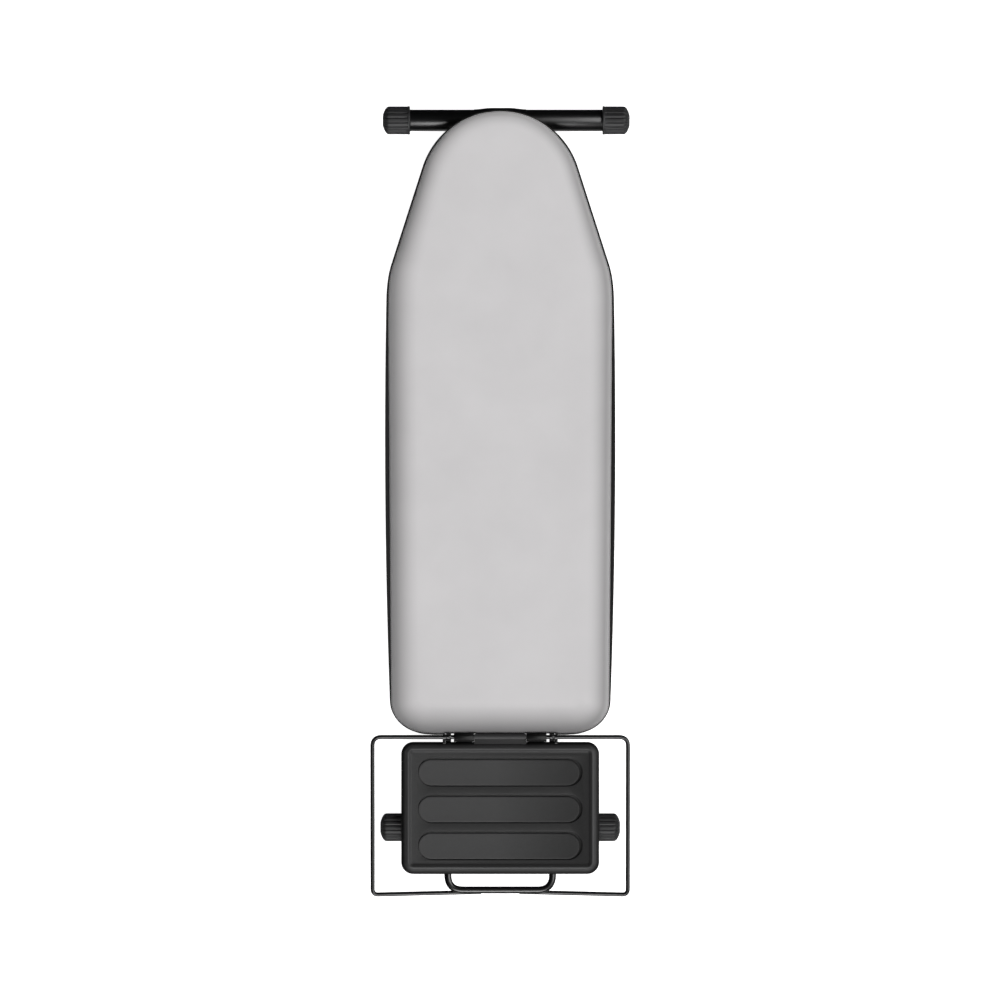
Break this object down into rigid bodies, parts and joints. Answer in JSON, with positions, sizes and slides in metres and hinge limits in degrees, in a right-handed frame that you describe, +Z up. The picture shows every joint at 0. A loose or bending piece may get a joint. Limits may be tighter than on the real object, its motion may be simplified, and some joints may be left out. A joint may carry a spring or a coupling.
{
  "type": "ironing board",
  "caption": "Folding ironing board on crossed tube legs, with a padded grey cover, black foot bars with ribbed end caps, a folding steam station tray and a wire garment rail.",
  "frame": {"origin": "on the floor under the middle of the folded object", "axes": "+Y along the board towards its nose, +Z up through the ironing surface, +X to the right"},
  "size_m": [0.5154, 1.5714, 0.098],
  "materials": {
    "grey_cotton": "plain-woven light grey cotton over foam",
    "black_trim": "black woven elastic band",
    "foam": "open-cell foam",
    "mesh_steel": "dark grey expanded steel",
    "black_steel": "gloss black powder coat",
    "zinc_steel": "bright zinc plating",
    "black_plastic": "fine-grained black plastic",
    "tray_plastic": "fine-grained charcoal plastic",
    "pad_rubber": "matt charcoal silicone",
    "sole_rubber": "matt black rubber",
    "nylon": "natural nylon"
  },
  "bodies": {
    "rear_foot": {"rear_foot_bar": "black_steel", "rear_foot_cap_left": "black_plastic", "rear_foot_cap_right": "black_plastic", "rear_foot_sole_left": "sole_rubber", "rear_foot_sole_right": "sole_rubber"},
    "front_foot": {"front_foot_bar": "black_steel", "front_foot_cap_left": "black_plastic", "front_foot_cap_right": "black_plastic", "front_foot_sole_left": "sole_rubber", "front_foot_sole_right": "sole_rubber"},
    "rear_leg": {"cross_pivot_pin": "zinc_steel", "cross_pivot_spacer_left": "nylon", "cross_pivot_spacer_right": "nylon", "rear_leg_brace": "black_steel", "rear_leg_ear_left": "black_steel", "rear_leg_ear_right": "black_steel", "rear_leg_sleeve_left": "black_steel", "rear_leg_sleeve_right": "black_steel", "rear_leg_tube_left": "black_steel", "rear_leg_tube_right": "black_steel", "slider_bush_left": "nylon", "slider_bush_right": "nylon", "slider_crossbar": "zinc_steel"},
    "front_leg": {"front_leg_brace": "black_steel", "front_leg_ear_left": "black_steel", "front_leg_ear_right": "black_steel", "front_leg_sleeve": "black_steel", "front_leg_tube_left": "black_steel", "front_leg_tube_right": "black_steel"},
    "iron_rest": {"garment_rail": "black_steel", "rest_knuckle_left": "black_steel", "rest_knuckle_right": "black_steel", "rest_support_tube": "black_steel", "rest_tray": "tray_plastic", "rest_tray_floor": "tray_plastic", "tray_pad_front": "pad_rubber", "tray_pad_middle": "pad_rubber", "tray_pad_rear": "pad_rubber"},
    "height_lever": {"lever_rocker": "zinc_steel", "lever_grip": "black_plastic"},
    "transport_lock": {"transport_catch": "black_plastic"},
    "board": {"axle_bracket_left": "zinc_steel", "axle_bracket_right": "zinc_steel", "board_mesh": "mesh_steel", "channel_side_left": "zinc_steel", "channel_side_right": "zinc_steel", "channel_web": "zinc_steel", "cover_band": "black_trim", "foam_pad": "foam", "front_cross_rail": "black_steel", "grey_cover": "grey_cotton", "hinge_saddle_left": "black_plastic", "hinge_saddle_right": "black_plastic", "lever_bracket_front": "zinc_steel", "lever_bracket_rear": "zinc_steel", "lever_spring": "zinc_steel", "middle_cross_rail": "black_steel", "rear_axle": "zinc_steel", "rear_cross_rail": "black_steel", "rim_frame": "black_steel"}
  },
  "joints": [
    {"name": "leg_opening", "type": "hinge", "parent": "rear_foot", "child": "rear_leg", "pos_m": [0, -0.6482, 0.0275], "axis": [1, 0, 0], "range_deg": [0, 49]},
    {"name": "leg_crossing", "type": "hinge", "parent": "rear_leg", "child": "front_leg", "pos_m": [0, 0.05465, 0.0275], "axis": [1, 0, 0], "range_deg": [-98, 0]},
    {"name": "board_pivot", "type": "hinge", "parent": "front_leg", "child": "board", "pos_m": [0, -0.39432, 0.058], "axis": [1, 0, 0], "range_deg": [0, 49]},
    {"name": "front_foot_pivot", "type": "hinge", "parent": "front_leg", "child": "front_foot", "pos_m": [0, 0.7575, 0.0275], "axis": [1, 0, 0], "range_deg": [0, 49]},
    {"name": "iron_rest_fold", "type": "hinge", "parent": "board", "child": "iron_rest", "pos_m": [0, -0.4675, 0.092], "axis": [-1, 0, 0], "range_deg": [0, 180]},
    {"name": "height_lever", "type": "hinge", "parent": "board", "child": "height_lever", "pos_m": [0.11, 0.275, 0.077], "axis": [0, -1, 0], "range_deg": [0, 7], "stiffness_Nm_per_rad": 2.5, "springref_deg": -6.88},
    {"name": "transport_catch", "type": "hinge", "parent": "board", "child": "transport_lock", "pos_m": [-0.045, 0.48701, 0.074], "axis": [1, 0, 0], "range_deg": [0, 90]}
  ],
  "couplings": [
    {"joint": "leg_crossing", "follows": "leg_opening", "ratio": -2},
    {"joint": "board_pivot", "follows": "leg_opening", "ratio": 1},
    {"joint": "front_foot_pivot", "follows": "leg_opening", "ratio": 1}
  ]
}
